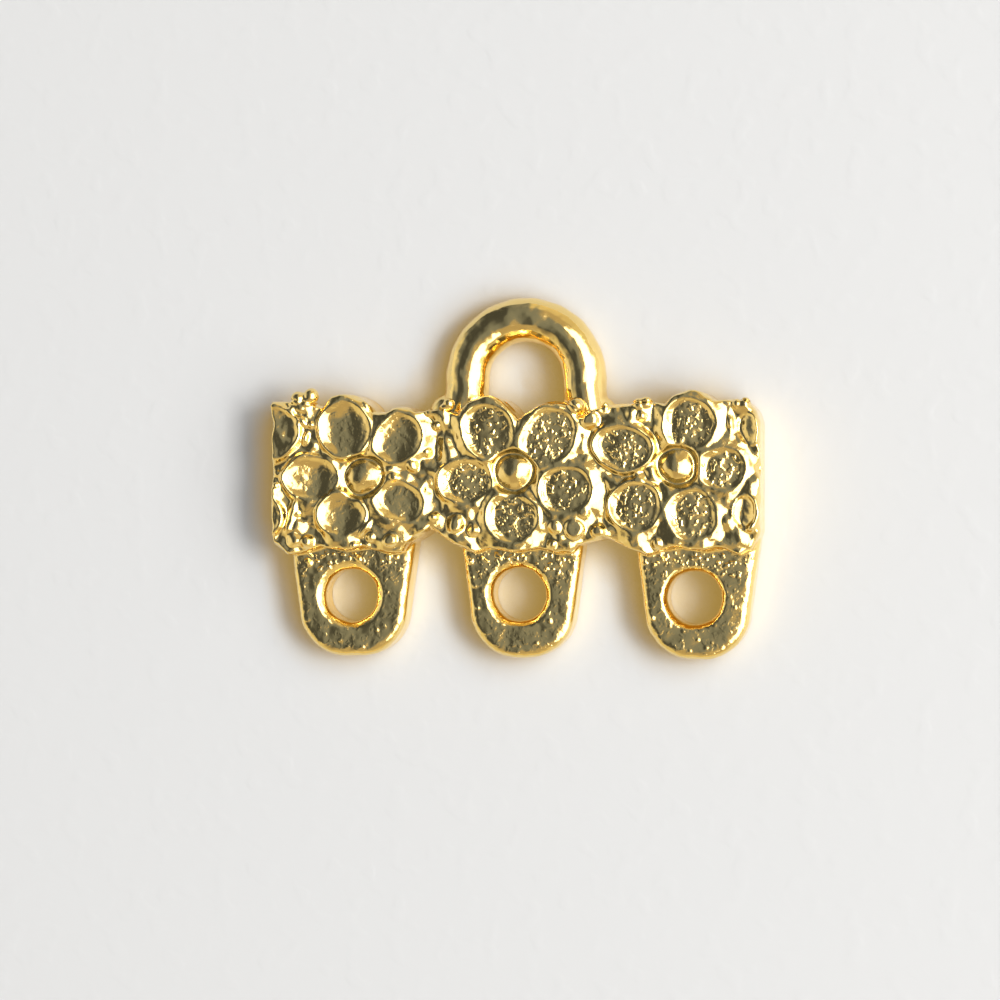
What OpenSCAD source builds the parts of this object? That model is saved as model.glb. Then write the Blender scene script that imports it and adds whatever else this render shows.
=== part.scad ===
// Three-strand connector: a small cast end bar that gathers three strands of
// beads into one clasp. It is one casting: a bar with a row of cupped flowers
// in relief, a loop for the clasp on one side and three drilled tabs on the other.
// It lies flat on its back. +X runs along the row of strands, +Y points to the
// loop and +Z out of the flowers. The origin is under the middle of the casting.

/* [Bar] */
// Length of the bar, end to end
bar_len = 17; // [16.8:0.1:17.6]
// Thickness of the ground that the flowers stand on
ground_t = 1.65; // [1.5:0.05:1.75]
// Radius of the rounded corner at the right-hand end
corner_r = 0.6; // [0.3:0.05:0.8]

/* [Flowers] */
// Height of the petals' rims above the back
petal_h = 2.3; // [2.2:0.05:2.5]
// Depth of the dish in each petal
dish_depth = 0.4; // [0.3:0.05:0.5]
// Width of a petal's rim, as a share of its half width
rim_share = 0.13; // [0.08:0.01:0.2]
// How much wider a petal is at the back than at its rim, on each side
petal_draft = 0.18; // [0.1:0.02:0.2]
// Radius of the bead in the middle of each flower
bead_r = 0.64; // [0.5:0.02:0.66]
// Height of the top of that bead above the back
bead_h = 2.15; // [2:0.05:2.3]

/* [Clasp loop] */
// Radius of the loop's centre line
loop_r = 2.05; // [1.95:0.01:2.1]
// Radius of the loop's round section
loop_wire_r = 0.78; // [0.7:0.02:0.85]
// Height of the section's centre above the back, which cuts it flat below
loop_wire_z = 0.6; // [0.5:0.02:0.7]
// Radius of the gentle curve by which each leg spreads towards the bar
leg_bend_r = 6; // [5:0.5:10]

/* [Strand tabs] */
// Distance from one strand to the next
strand_pitch = 6; // [5.8:0.1:6.2]
// Width of a tab
tab_w = 3.92; // [3.8:0.02:4.2]
// Thickness of a tab
tab_t = 1.3; // [1.1:0.05:1.4]
// Radius of a tab's two free corners
tab_corner_r = 1.5; // [1:0.05:1.8]
// Width of the slope round a tab's upper edge
tab_edge = 0.18; // [0.1:0.02:0.25]
// Radius of a strand hole
hole_r = 0.9; // [0.8:0.01:0.95]
// Radius of its mouth at the tab's face
mouth_r = 1.14; // [1:0.01:1.2]
// Depth of the mouth
mouth_depth = 0.3; // [0.2:0.05:0.4]

/* [Hidden] */
$fn = 48;

gold = [0.87, 0.71, 0.38];
bar_x = bar_len / 2;
top_y = 2.65; // upper edge of the bar at its ends
low_y = -2.5; // lower edge of the bar at its ends
step_y = -2.65; // where the ground steps down to a tab's face
tab_low_y = -6.25; // free edge of the tabs
tab_top_y = -1.9; // where a tab ends under the ground

// The bar's outline without its rounded corner, anticlockwise from the lower left.
bar_outline = [
    [-bar_x, -2.3], [-7.9, step_y], [-3.85, step_y], [-3.65, -2.3], [-2.85, -1.8],
    [-1.7, -2.5], [-1.55, step_y], [2.05, step_y], [2.25, -2.35], [3.25, -2.12],
    [4.2, -2.5], [4.35, step_y], [8.05, step_y], [8.2, low_y], [bar_x, -1.9],
    [bar_x, top_y - corner_r], [bar_x - corner_r, top_y], [5.4, 2.5], [3.6, 2.5],
    [1.8, 1.95], [-0.8, 1.95], [-2.5, 2.3], [-4.9, 2.25], [-6.8, 2.5], [-7.8, top_y],
    [-bar_x, top_y]
];

// Columns of a petal's row: the direction and the distance from the flower's
// bead to the petal's centre, its half length, its half width, and the
// direction in which its length lies.
TOWARDS = 0;
REACH = 1;
HALF_LEN = 2;
HALF_WID = 3;
LIES = 4;

left_flower = [
    [111, 1.76, 0.98, 0.88, 95], [47, 1.79, 0.88, 0.76, 45], [181, 1.8, 0.96, 0.7, 0],
    [241, 1.49, 0.86, 0.7, 0], [325, 1.52, 0.86, 0.66, -8]
];
middle_flower = [
    [121, 1.66, 0.94, 0.86, 110], [46, 1.69, 1.08, 0.86, 40], [191, 1.66, 0.93, 0.7, 0],
    [269, 1.59, 0.89, 0.86, 0], [342, 1.89, 0.91, 0.81, 0]
];
right_flower = [
    [72, 1.53, 0.91, 0.86, 60], [161, 1.94, 0.99, 0.74, 170], [357, 1.59, 0.79, 0.69, 0],
    [226, 1.98, 0.89, 0.82, 0], [289, 1.8, 0.86, 0.81, 100]
];

// Columns of the other tables: a place on the bar, then a radius or two half sizes.
X = 0;
Y = 1;
R = 2;
HALF_X = 2;
HALF_Y = 3;

// Middle of each flower's bead.
flower_at = [[-5.15, 0], [0.12, 0.1], [5.72, 0.35]];
flowers = [left_flower, middle_flower, right_flower];

// Round petals that the left end of the bar cuts through: place and radius.
cut_petals = [[-8.34, 1.5, 0.86], [-8.85, -1.36, 0.8]];

// Narrow petals along the right end: place and half sizes.
end_petals = [[7.86, 1.8, 0.44, 0.62], [7.9, -1.27, 0.4, 0.56]];

// Grains between the petals: place and radius.
grains = [
    [-6.96, 2.5, 0.24], [-7.41, 2.42, 0.17], [-6.89, 1.77, 0.12], [-2.78, 2.07, 0.14],
    [-2.29, 2.27, 0.2], [-2.6, 1.72, 0.14], [-2.85, 0.8, 0.16], [-3.37, 0.33, 0.2],
    [-3.99, -0.01, 0.14], [-0.04, 2.02, 0.15], [2.18, 2.31, 0.28], [3.21, 2.29, 0.17],
    [2.75, 1.92, 0.28], [4.56, 2.39, 0.14], [4.56, 2.09, 0.16], [8.01, 2.57, 0.14],
    [-8.07, 0.09, 0.13], [-8.07, -0.31, 0.12], [-7.35, -1.31, 0.1], [-7.48, -2.18, 0.2],
    [-7.05, -2.23, 0.2], [-5.34, -2.45, 0.16], [-4.85, -2.13, 0.14], [-3.85, -2.18, 0.14],
    [-1.98, -1.63, 0.26], [-1.35, -1.93, 0.15], [-2.67, -1.41, 0.14], [1.51, -1.76, 0.17],
    [2.18, -1.9, 0.25], [3.01, -1.93, 0.2], [1.45, -2.38, 0.14], [4.43, -0.06, 0.18],
    [4.98, -2.38, 0.15], [8.3, -1.78, 0.12]
];

// Middle of each strand hole, as cast a little off the even pitch.
hole_at = [[0.19 - strand_pitch, -4.13], [0.19, -4.07], [0.25 + strand_pitch, -4.15]];

// Middle of the arc of the clasp loop, and the length of a leg below it.
loop_at = [0.28, 3.42];
leg_len = 1.9;
leg_turn = asin(leg_len / leg_bend_r);

module ground() {
    linear_extrude(ground_t) {
        polygon(bar_outline);
        translate([bar_x - corner_r, top_y - corner_r]) circle(corner_r);
    }
}

// A cupped petal, round or oval, whose length lies along the direction lie.
module petal(half_len, half_wid, lie = 0) {
    dish_half = half_wid * (1 - rim_share);
    ball_r = (dish_half ^ 2 + dish_depth ^ 2) / (2 * dish_depth);
    rotate(lie) scale([half_len / half_wid, 1, 1]) difference() {
        cylinder(r1 = half_wid + petal_draft, r2 = half_wid, h = petal_h);
        translate([0, 0, petal_h - dish_depth + ball_r]) sphere(ball_r);
    }
}

module flower(petals) {
    for (p = petals)
        translate(p[REACH] * [cos(p[TOWARDS]), sin(p[TOWARDS])])
            petal(p[HALF_LEN], p[HALF_WID], p[LIES]);
    translate([0, 0, bead_h - bead_r]) sphere(bead_r);
}

// The petals at the left end stop in line with it, and the others stay whole.
module edge_petals() {
    intersection() {
        translate([-bar_x, low_y, 0]) cube([bar_len / 2, top_y - low_y, petal_h + 1]);
        for (p = cut_petals) translate([p[X], p[Y]]) petal(p[R], p[R]);
    }
    for (p = end_petals) translate([p[X], p[Y]]) petal(p[HALF_X], p[HALF_Y]);
}

module grain_field() {
    for (g = grains)
        translate([g[X], g[Y], ground_t]) sphere(g[R]);
}

// Section of the loop: round, and cut flat where it lies on the back plane.
module loop_section() {
    intersection() {
        translate([0, loop_wire_z]) circle(loop_wire_r);
        translate([-2 * loop_wire_r, 0]) square(4 * loop_wire_r);
    }
}

module clasp_loop() {
    translate(loop_at) {
        rotate_extrude(angle = 180, start = 0) translate([loop_r, 0]) loop_section();
        for (side = [0, 1])
            mirror([side, 0, 0]) translate([loop_r + leg_bend_r, 0])
                rotate_extrude(angle = leg_turn, start = 180)
                    translate([leg_bend_r, 0]) loop_section();
    }
}

// One level of a tab, from its rounded end to under the ground.
module tab_level(x, inset, h) {
    half = tab_w / 2 - inset;
    translate([x, 0]) linear_extrude(h) {
        for (side = [-1, 1])
            translate([side * (tab_w / 2 - tab_corner_r), tab_low_y + tab_corner_r])
                circle(tab_corner_r - inset, $fn = 32);
        translate([-half, tab_top_y - 0.2]) square([2 * half, 0.2]);
    }
}

module strand_tab(x) {
    hull() {
        tab_level(x, 0, tab_t - tab_edge);
        tab_level(x, tab_edge, tab_t);
    }
}

module strand_hole() {
    translate([0, 0, -1]) cylinder(r = hole_r, h = tab_t + 2);
    translate([0, 0, tab_t - mouth_depth])
        cylinder(r1 = hole_r, r2 = mouth_r, h = mouth_depth);
}

module connector() {
    color(gold) difference() {
        union() {
            ground();
            for (i = [0 : len(flowers) - 1]) translate(flower_at[i]) flower(flowers[i]);
            edge_petals();
            grain_field();
            clasp_loop();
            for (h = hole_at) strand_tab(h[X]);
        }
        for (h = hole_at) translate(h) strand_hole();
    }
}

connector();
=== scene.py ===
"""A three-strand connector: a small gold-plated end bar that gathers three strands of beads.

The casting is shaped in millimetres. Its bar, loop and tabs are fused into one skin,
the flowers are pressed into the top of the bar, the skin is worked over as cast metal
is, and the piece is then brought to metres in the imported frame. It lies flat on its
back, with +X along the row of strands and +Y towards the loop.
"""

import logging
import math
from collections.abc import Sequence
from dataclasses import dataclass
from enum import Enum

import bmesh
import bpy
import numpy as np
from mathutils import Matrix, Vector, noise


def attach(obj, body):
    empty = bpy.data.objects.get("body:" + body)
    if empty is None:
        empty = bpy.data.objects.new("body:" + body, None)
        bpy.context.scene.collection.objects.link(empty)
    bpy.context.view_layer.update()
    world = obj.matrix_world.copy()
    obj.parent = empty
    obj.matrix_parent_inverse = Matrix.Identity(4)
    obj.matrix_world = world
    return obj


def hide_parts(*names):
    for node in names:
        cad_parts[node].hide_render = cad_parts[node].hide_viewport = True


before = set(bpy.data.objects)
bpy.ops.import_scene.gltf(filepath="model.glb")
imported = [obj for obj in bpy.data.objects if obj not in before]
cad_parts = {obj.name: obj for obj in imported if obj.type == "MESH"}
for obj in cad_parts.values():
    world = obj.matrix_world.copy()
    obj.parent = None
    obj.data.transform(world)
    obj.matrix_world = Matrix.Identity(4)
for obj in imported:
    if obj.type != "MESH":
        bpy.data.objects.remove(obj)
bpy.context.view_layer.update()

log = logging.getLogger("connector")

MM = 0.001  # metres in a millimetre
GROUND_T = 2.07  # mean height of the ground between the flowers
BLOCK_T = 2.3  # height of the bar before the relief is pressed into it
PRESS_Z = 1.33  # the relief's press leaves everything below this height alone
PETAL_H = 2.24  # height of the petals' rims
CEILING = 2.27  # the highest that anything of the relief rises
TAB_T = 1.3  # thickness of a strand tab
BAR_X = 8.5  # half the bar's length
BLEND = 0.03  # width over which two forms of the relief run together
SEAM = 1e-5  # vertices nearer than this are one
TINY = 1e-6  # keeps a distance off zero
KEY_TILT = 40.0  # direction of the main light towards the right, in degrees
CAST_SKIN = "cast_skin"  # the mesh's own measure of how rough the cast surface is
Outline = Sequence[tuple[float, float]]
Range = tuple[float, float]
Colour = tuple[float, float, float, float]


class Skin(Enum):
    """How rough the cast surface is in one region, from 0 to 1."""

    POLISHED = 0.1
    DIMPLED = 0.18
    PEBBLED = 0.7


def turned(points: Sequence[tuple[float, float]], steps: int) -> bmesh.types.BMesh:
    """Spins a profile round the Z axis into a closed form.

    Args:
        points: Radius and height of each point, from the axis round to the axis.
        steps: Number of facets round the axis.

    Returns:
        The closed form, centred on the axis.
    """
    bm = bmesh.new()
    verts = [bm.verts.new((r, 0, z)) for r, z in points]
    edges = [bm.edges.new(pair) for pair in zip(verts, verts[1:])]
    bmesh.ops.spin(bm, geom=verts + edges, cent=(0, 0, 0), axis=(0, 0, 1),
                   angle=2 * math.pi, steps=steps, use_merge=True)
    bmesh.ops.remove_doubles(bm, verts=bm.verts, dist=SEAM)
    bmesh.ops.recalc_face_normals(bm, faces=bm.faces)
    return bm


def ball(place: Vector, radius: float, steps: int, rings: int,
         stretch: Vector = Vector((1, 1, 1))) -> bmesh.types.BMesh:
    """Makes a ball, or an egg shape.

    Args:
        place: Its middle.
        radius: Its radius before it is stretched.
        steps: Number of facets round it.
        rings: Number of facets from top to bottom.
        stretch: How much it is stretched along each axis.

    Returns:
        The closed form.
    """
    bm = bmesh.new()
    bmesh.ops.create_uvsphere(bm, u_segments=steps, v_segments=rings, radius=radius)
    bmesh.ops.scale(bm, vec=stretch, verts=bm.verts)
    bmesh.ops.translate(bm, vec=place, verts=bm.verts)
    return bm


def poured_into(mould: bmesh.types.BMesh, form: bmesh.types.BMesh) -> None:
    """Adds a form to the mould and frees it.

    Args:
        mould: What the casting's forms are gathered in.
        form: The form to add.
    """
    mesh = bpy.data.meshes.new("form")
    form.to_mesh(mesh)
    form.free()
    mould.from_mesh(mesh)
    bpy.data.meshes.remove(mesh)


def as_object(form: bmesh.types.BMesh, name: str) -> bpy.types.Object:
    """Turns a form into an object in the scene and frees the form.

    Args:
        form: The form.
        name: The object's name.

    Returns:
        The object, at the origin.
    """
    mesh = bpy.data.meshes.new(name)
    form.to_mesh(mesh)
    form.free()
    made = bpy.data.objects.new(name, mesh)
    bpy.context.scene.collection.objects.link(made)
    return made


def finished(piece: bpy.types.Object) -> bpy.types.Mesh:
    """Applies an object's modifiers.

    Args:
        piece: The object, whose modifiers are then gone.

    Returns:
        Its new mesh.
    """
    shown = piece.evaluated_get(bpy.context.evaluated_depsgraph_get())
    mesh = bpy.data.meshes.new_from_object(shown)
    piece.modifiers.clear()
    piece.data = mesh
    return mesh


def cut_away(form: bmesh.types.BMesh, cutter: bmesh.types.BMesh) -> bmesh.types.BMesh:
    """Cuts one form out of another.

    Args:
        form: The form that stays.
        cutter: The form to cut away.

    Returns:
        The cut form. Both of the given ones are freed.
    """
    body = as_object(form, "blank")
    tool = as_object(cutter, "cutter")
    cut = body.modifiers.new("cut", "BOOLEAN")
    cut.operation = "DIFFERENCE"
    cut.solver = "EXACT"
    cut.object = tool
    bm = bmesh.new()
    bm.from_mesh(finished(body))
    bpy.data.objects.remove(tool)
    bpy.data.objects.remove(body)
    return bm


def smooth_step(over: Range, value: np.ndarray) -> np.ndarray:
    """Rises smoothly from 0 at the start of a range to 1 at its end."""
    share = np.clip((value - over[0]) / (over[1] - over[0]), 0, 1)
    return share * share * (3 - 2 * share)


def soft_max(a: np.ndarray, b: np.ndarray, blend: float) -> np.ndarray:
    """Takes the higher of two heights, rounding the crease where they cross."""
    return 0.5 * (a + b + np.sqrt((a - b) ** 2 + blend ** 2))


@dataclass(frozen=True)
class Waves:
    """Smooth noise, as it shows on cast metal."""

    height: float  # in millimetres, of which it takes about -0.5 to 0.5
    per_mm: float
    shift: float = 0.0  # where in the noise it is taken

    def at(self, co: np.ndarray) -> np.ndarray:
        """Works out the noise at each place."""
        return self.height * np.array(
            [noise.noise(Vector(p) * self.per_mm) for p in co + self.shift])


def depth_within(outline: Outline, co: np.ndarray) -> np.ndarray:
    """Measures how far each place lies inside an outline, seen from above.

    Args:
        outline: The corners in order.
        co: Places, one in each row.

    Returns:
        The distance to the outline, negative for a place outside it.
    """
    x, y = co[:, 0], co[:, 1]
    nearest = np.full(len(co), np.inf)
    inside = np.zeros(len(co), bool)
    corners = list(outline)
    for (ax, ay), (bx, by) in zip(corners, corners[1:] + corners[:1]):
        run, rise = bx - ax, by - ay
        share = np.clip(((x - ax) * run + (y - ay) * rise) / (run * run + rise * rise), 0, 1)
        nearest = np.minimum(nearest, np.hypot(x - ax - share * run, y - ay - share * rise))
        if rise:
            inside ^= ((ay > y) != (by > y)) & (x < ax + (y - ay) * run / rise)
    return np.where(inside, nearest, -nearest)


@dataclass(frozen=True)
class Petal:
    """One cupped petal, placed from the middle of its flower. Sizes are in millimetres."""

    towards: float  # direction from the flower's bead, in degrees
    reach: float  # distance from the bead to the petal's middle
    half_len: float
    half_wid: float
    lies: float  # direction in which its length lies, in degrees
    depth: float = 0.09  # of the dish's floor below its rim
    tip: float = 0.15  # how much deeper the floor is at its left end
    hollow: float = 0.0  # how far the floor itself is hollowed
    wall: float = 0.65  # slope of the dish's wall, as a rise for each millimetre
    lean: float = 0.0  # slope of the whole petal, in degrees
    lean_to: float = 0.0  # direction in which it slopes down
    skirt: float = 0.0  # how much gentler its outer side is on the right
    long_sides: float = 0.3  # the same towards the bar's long edges
    flank: float = 2.2  # slope of its outer side, as a rise for each millimetre
    shoulder: float = 0.38  # the same where it faces the bar's upper edge, and half of it at the lower
    height: float = PETAL_H
    rim: float = 0.015  # half width of the rim
    ease: float = 0.02  # width of the bend between the rim and the outer side
    end_walls: float = 0.4  # how much steeper the dish's wall is at the top and bottom
    tip_curve: float = 1.5  # how late the floor falls towards its tip
    apron: float = 0.24  # how far the bar reaches round it
    steps: int = 48

    def out_to(self) -> tuple[float, float]:
        """Works out the way from the middle of the flower to its own."""
        way = math.radians(self.towards)
        return self.reach * math.cos(way), self.reach * math.sin(way)

    def seen_from(self, place: Vector,
                  co: np.ndarray) -> tuple[np.ndarray, np.ndarray, np.ndarray]:
        """Measures places from the petal's rim.

        Args:
            place: Middle of its flower.
            co: Places, one in each row.

        Returns:
            The offset from the petal's middle, the share of the way to the rim, and the
            distance beyond the rim.
        """
        turn = math.radians(self.lies)
        offset = co[:, :2] - (np.array(place)[:2] + np.array(self.out_to()))
        along = (offset[:, 0] * math.cos(turn) + offset[:, 1] * math.sin(turn)) / self.half_len
        across = (offset[:, 1] * math.cos(turn) - offset[:, 0] * math.sin(turn)) / self.half_wid
        share = np.maximum(np.hypot(along, across), TINY)
        far = np.hypot(offset[:, 0], offset[:, 1])
        return offset, share, far * (1 - 1 / share)

    def crown(self, place: Vector, co: np.ndarray) -> np.ndarray:
        """Works out the petal's height without its dish.

        Args:
            place: Middle of its flower.
            co: Places, one in each row.

        Returns:
            The height of its flat crown, or of its sloping side beyond the rim.
        """
        offset, _, beyond = self.seen_from(place, co)
        down = math.radians(self.lean_to)
        downward = offset[:, 0] * math.cos(down) + offset[:, 1] * math.sin(down)
        fall = math.tan(math.radians(self.lean)) * downward
        far = np.maximum(np.hypot(offset[:, 0], offset[:, 1]), TINY)
        rightward = np.clip(offset[:, 0] / far, 0, 1) ** 2
        out = np.maximum(beyond - self.rim, 0)
        endways = (offset[:, 1] / far) ** 2
        outward = np.where(offset[:, 1] * math.sin(math.radians(self.towards)) > 0, endways, 0)
        flank = self.flank * (1 - self.skirt * rightward - self.long_sides * endways)
        shoulder = np.where(offset[:, 1] > 0, self.shoulder, self.shoulder / 2)
        flank += outward * (shoulder - flank)
        return self.height - fall - flank * (np.sqrt(out ** 2 + self.ease ** 2) - self.ease)

    def hollowed(self, place: Vector, co: np.ndarray, height: np.ndarray) -> np.ndarray:
        """Sinks the petal's dish into what stands there.

        Args:
            place: Middle of its flower.
            co: Places, one in each row.
            height: The height there.

        Returns:
            The new height at each place.
        """
        offset, share, beyond = self.seen_from(place, co)
        endways = offset[:, 1] / np.maximum(np.hypot(offset[:, 0], offset[:, 1]), TINY)
        wall = self.wall * (1 + self.end_walls * endways ** 2) * np.maximum(-beyond - self.rim, 0)
        leftward = np.clip(-offset[:, 0] / self.half_len, 0, 1)
        floor = self.depth + self.tip * leftward ** self.tip_curve + self.hollow * (1 - share ** 2)
        sunk = self.crown(place, co) + soft_max(-wall, -floor, BLEND)
        return np.where(share < 1, np.minimum(height, sunk), height)

    def footing(self, place: Vector) -> bmesh.types.BMesh:
        """Makes the block of the bar under the petal, where it reaches past the outline.

        Args:
            place: Middle of its flower.

        Returns:
            The closed form.
        """
        bm = bmesh.new()
        bmesh.ops.create_cone(bm, cap_ends=True, segments=self.steps, radius1=1, radius2=1,
                              depth=BLOCK_T)
        size = (self.half_len + self.apron, self.half_wid + self.apron, 1)
        bmesh.ops.scale(bm, vec=size, verts=bm.verts)
        turn = Matrix.Rotation(math.radians(self.lies), 3, "Z")
        bmesh.ops.rotate(bm, verts=bm.verts, cent=(0, 0, 0), matrix=turn)
        bmesh.ops.translate(bm, verts=bm.verts, vec=place + Vector((*self.out_to(), BLOCK_T / 2)))
        return bm


def petals_pressed(petals: Sequence[tuple[Vector, Petal]], co: np.ndarray,
                   height: np.ndarray) -> np.ndarray:
    """Raises petals out of the ground and sinks their dishes.

    Args:
        petals: The middle of each petal's flower, and the petal.
        co: Places, one in each row.
        height: The ground's height there.

    Returns:
        The new height at each place.
    """
    for place, petal in petals:
        height = soft_max(height, petal.crown(place, co), BLEND)
    for place, petal in petals:
        height = petal.hollowed(place, co, height)
    return height


@dataclass(frozen=True)
class Blossom:
    """A flower of cupped petals round a bead."""

    place: Vector
    petals: tuple[Petal, ...]
    skin: Skin = Skin.POLISHED
    bead_r: float = 0.64  # half width of the bead
    dome_r: float = 0.72  # radius of its dome
    bead_top: float = 2.22
    groove_z: float = 1.94  # height of the groove between the bead and its petals
    saddle: float = 1.7  # how steeply the groove rises away from the bead
    blend: float = 0.1  # width over which the groove runs into what is beside it

    def forms(self) -> list[bmesh.types.BMesh]:
        """Makes the blocks under the petals."""
        return [petal.footing(self.place) for petal in self.petals]

    def press(self, co: np.ndarray, height: np.ndarray) -> np.ndarray:
        """Raises the petals and the bead out of the ground.

        Args:
            co: Places, one in each row.
            height: The ground's height there.

        Returns:
            The new height at each place.
        """
        height = petals_pressed([(self.place, petal) for petal in self.petals], co, height)
        far = np.hypot(co[:, 0] - self.place.x, co[:, 1] - self.place.y)
        groove = self.groove_z + self.saddle * np.maximum(far - self.bead_r, 0)
        height = -soft_max(-height, -groove, self.blend)
        dome = self.bead_top - self.dome_r + np.sqrt(np.maximum(self.dome_r ** 2 - far ** 2, 0))
        return soft_max(height, dome, self.blend)


@dataclass(frozen=True)
class Lump:
    """A grain, ridge or speck that rises from the cast metal, or a valley that sinks into it."""

    x: float
    y: float
    half_len: float
    half_wid: float
    lies: float = 0.0
    rise: float = 0.16

    def swell(self, co: np.ndarray) -> np.ndarray:
        """Works out how far it rises above what it lies on.

        Args:
            co: Places, one in each row.

        Returns:
            The rise at each place.
        """
        turn = math.radians(self.lies)
        off_x, off_y = co[:, 0] - self.x, co[:, 1] - self.y
        along = (off_x * math.cos(turn) + off_y * math.sin(turn)) / self.half_len
        across = (off_y * math.cos(turn) - off_x * math.sin(turn)) / self.half_wid
        return self.rise * np.maximum(1 - along ** 2 - across ** 2, 0)


@dataclass(frozen=True)
class BarGround:
    """The uneven bar that everything stands on."""

    edge_w: float = 0.1  # width of its rounded upper edge
    edge_drop: float = 0.3
    ragged: Waves = Waves(0.1, 1.9)  # how far that edge wanders
    swells: tuple[Waves, ...] = (Waves(0.1, 1.1), Waves(0.12, 2.4, 7))  # of the ground
    valleys: tuple[Lump, ...] = (
        Lump(-2.75, 1.3, 1.1, 0.4, 88, -0.17),
        Lump(-2.7, -0.6, 0.8, 0.4, 90, -0.12),
        Lump(2.8, 0.9, 0.8, 0.35, 90, -0.12),
        Lump(3.1, -0.7, 0.8, 0.3, 95, -0.12),
    )
    outline: Outline = (
        (-BAR_X, -2.3), (-7.9, -2.72), (-7.3, -2.62), (-6.7, -2.42), (-5.9, -2.56), (-5.1, -2.46),
        (-4.4, -2.66), (-3.85, -2.6), (-3.65, -2.3), (-2.85, -1.8), (-1.7, -2.5), (-1.3, -2.62),
        (-0.8, -2.44), (0.1, -2.58), (0.9, -2.46), (1.5, -2.64), (2.05, -2.58), (2.25, -2.35),
        (3.25, -2.12), (4.2, -2.5), (4.6, -2.7), (5.2, -2.5), (5.8, -2.42), (6.6, -2.56),
        (7.3, -2.46), (7.8, -2.66), (8.2, -2.5), (BAR_X, -1.9),
        (BAR_X, 1.85), (8.38, 2.22), (8.12, 2.5), (7.75, 2.64), (5.4, 2.5), (3.6, 2.5),
        (1.8, 1.95), (-0.8, 1.95), (-2.5, 2.3), (-4.9, 2.25), (-6.8, 2.5), (-7.8, 2.65),
        (-BAR_X, 2.65))

    def forms(self) -> list[bmesh.types.BMesh]:
        """Makes the bar as a plain block.

        Returns:
            Its one closed form.
        """
        bm = bmesh.new()
        bottom = bm.faces.new([bm.verts.new((x, y, 0)) for x, y in self.outline])
        lifted = bmesh.ops.extrude_face_region(bm, geom=[bottom])
        top = [g for g in lifted["geom"] if isinstance(g, bmesh.types.BMVert)]
        bmesh.ops.translate(bm, vec=(0, 0, BLOCK_T), verts=top)
        bmesh.ops.recalc_face_normals(bm, faces=bm.faces)
        return [bm]

    def level(self, co: np.ndarray) -> np.ndarray:
        """Works out the height of the bare ground.

        Args:
            co: Places, one in each row.

        Returns:
            The height at each place.
        """
        height = GROUND_T + sum(valley.swell(co) for valley in self.valleys)
        for waves in self.swells:
            height = height + waves.at(co * (1, 1, 0))
        return height

    def edge_fall(self, within: np.ndarray) -> np.ndarray:
        """Works out how far the rounded upper edge falls, from the distance inside the outline."""
        share = np.clip(within / self.edge_w, 0, 1)
        return self.edge_drop * (1 - np.sqrt(1 - (1 - share) ** 2))


@dataclass(frozen=True)
class ClaspLoop:
    """The D-shaped loop of round section that the clasp's ring goes through."""

    place: Vector = Vector((0.25, 3.41, 0))
    radius: float = 2.06
    wire_r: float = 0.77
    wire_z: float = 0.6
    leg_bend_r: float = 5.0
    leg_len: float = 1.9
    section_steps: int = 24
    arc_steps: int = 40
    leg_steps: int = 8
    # Place and half sizes of the foot where each leg runs out into the bar.
    feet: tuple[tuple[float, float, float, float], ...] = (
        (-2.35, 2.1, 0.85, 0.85), (2.9, 2.2, 0.6, 0.6))
    foot_z: float = 0.58  # height of their middles
    foot_steps: int = 32

    def section(self) -> list[tuple[float, float]]:
        """Works out the round section, cut flat where it lies on the back plane.

        Returns:
            Offset and height of each point.
        """
        points = []
        for i in range(self.section_steps):
            turn = 2 * math.pi * i / self.section_steps
            height = self.wire_z + self.wire_r * math.sin(turn)
            points.append((self.wire_r * math.cos(turn), max(0.0, height)))
        return points

    def forms(self) -> list[bmesh.types.BMesh]:
        """Makes the first leg, the arc and the second leg as one bent bar, and its feet.

        Returns:
            Their closed forms.
        """
        bm = bmesh.new()
        verts = [bm.verts.new((self.radius + x, 0, z)) for x, z in self.section()]
        ring = verts + [bm.edges.new(pair) for pair in zip(verts, verts[1:] + verts[:1])]
        leg_turn = math.asin(self.leg_len / self.leg_bend_r)
        pivot = self.radius + self.leg_bend_r
        spread = Matrix.Rotation(leg_turn, 3, "Z")
        bmesh.ops.rotate(bm, verts=verts, cent=(pivot, 0, 0), matrix=spread)
        bends = (
            (pivot, -leg_turn, self.leg_steps),
            (0.0, math.pi, self.arc_steps),
            (-pivot, -leg_turn, self.leg_steps),
        )
        for centre_x, angle, steps in bends:
            made = bmesh.ops.spin(bm, geom=ring, cent=(centre_x, 0, 0), axis=(0, 0, 1),
                                  angle=angle, steps=steps)
            ring = [g for g in made["geom_last"] if not isinstance(g, bmesh.types.BMFace)]
        bmesh.ops.holes_fill(bm, edges=bm.edges, sides=0)
        bmesh.ops.recalc_face_normals(bm, faces=bm.faces)
        bmesh.ops.translate(bm, vec=self.place, verts=bm.verts)
        made = [bm]
        for x, y, half_x, half_y in self.feet:
            made.append(ball(Vector((x, y, self.foot_z)), 1, self.foot_steps, self.foot_steps // 2,
                             stretch=Vector((half_x, half_y, self.foot_z))))
        return made


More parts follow.
